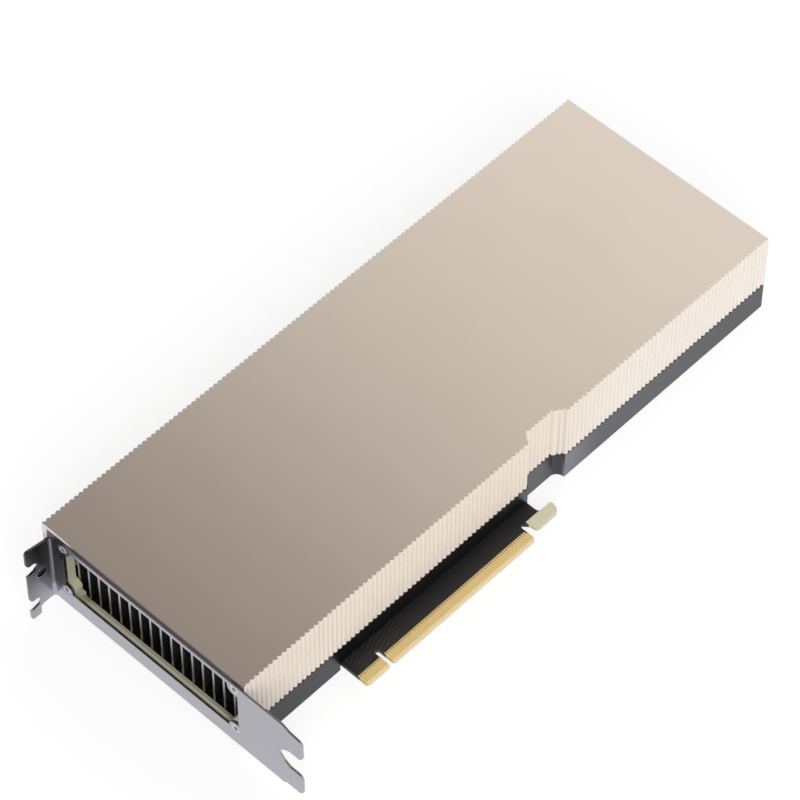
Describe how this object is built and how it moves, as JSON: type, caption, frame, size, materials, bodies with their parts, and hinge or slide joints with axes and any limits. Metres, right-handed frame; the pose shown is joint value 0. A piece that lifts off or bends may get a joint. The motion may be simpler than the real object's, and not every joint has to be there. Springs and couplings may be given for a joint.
{
  "type": "passive accelerator card",
  "caption": "Dual-slot passive accelerator card: ribbed shroud over a finned heatsink, dark base frame, edge connector and vented slot bracket.",
  "frame": {"origin": "on the outer face of the slot bracket, in line with the connector edge and with the component face of the board", "axes": "+X from the bracket to the far end of the card, +Y from the connector edge to the card's top edge, +Z from the board up to the face of the shroud"},
  "size_m": [0.2794, 0.1252, 0.0403],
  "materials": {
    "champagne_metal": "satin champagne anodised aluminium",
    "frame_metal": "satin olive-grey conversion coat",
    "dark_metal": "satin dark anodised aluminium",
    "bracket_steel": "satin plated steel",
    "board": "black solder mask",
    "gold": "bright gold plate",
    "package_green": "satin laminate",
    "nickel": "satin nickel",
    "silicon": "polished silicon",
    "compound": "grey paste",
    "copper": "plated copper",
    "fin_aluminium": "plain sheet",
    "ferrite": "matte grey",
    "pad": "soft gap pad",
    "chip": "matte black",
    "socket": "black nylon",
    "pin": "tinned",
    "screw_steel": "zinc plated",
    "black_screw": "black oxide"
  },
  "bodies": {
    "root": {"shroud": "champagne_metal", "exhaust_frame": "frame_metal", "base_frame": "dark_metal", "back_plate": "dark_metal", "bracket": "bracket_steel", "circuit_board": "board", "edge_contacts_front": "gold", "edge_contacts_back": "gold", "gpu_package": "package_green", "package_stiffener": "nickel", "gpu_die": "silicon", "memory_stacks": "silicon", "thermal_compound": "compound", "vapour_chamber": "copper", "fin_stack": "fin_aluminium", "power_inductors": "ferrite", "inductor_pads": "pad", "power_stages": "chip", "capacitors": "chip", "memory_power_chips": "chip", "power_socket": "socket", "socket_pins": "pin", "bracket_screws": "screw_steel", "case_screws": "black_screw", "heatsink_screws": "black_screw"}
  },
  "joints": []
}
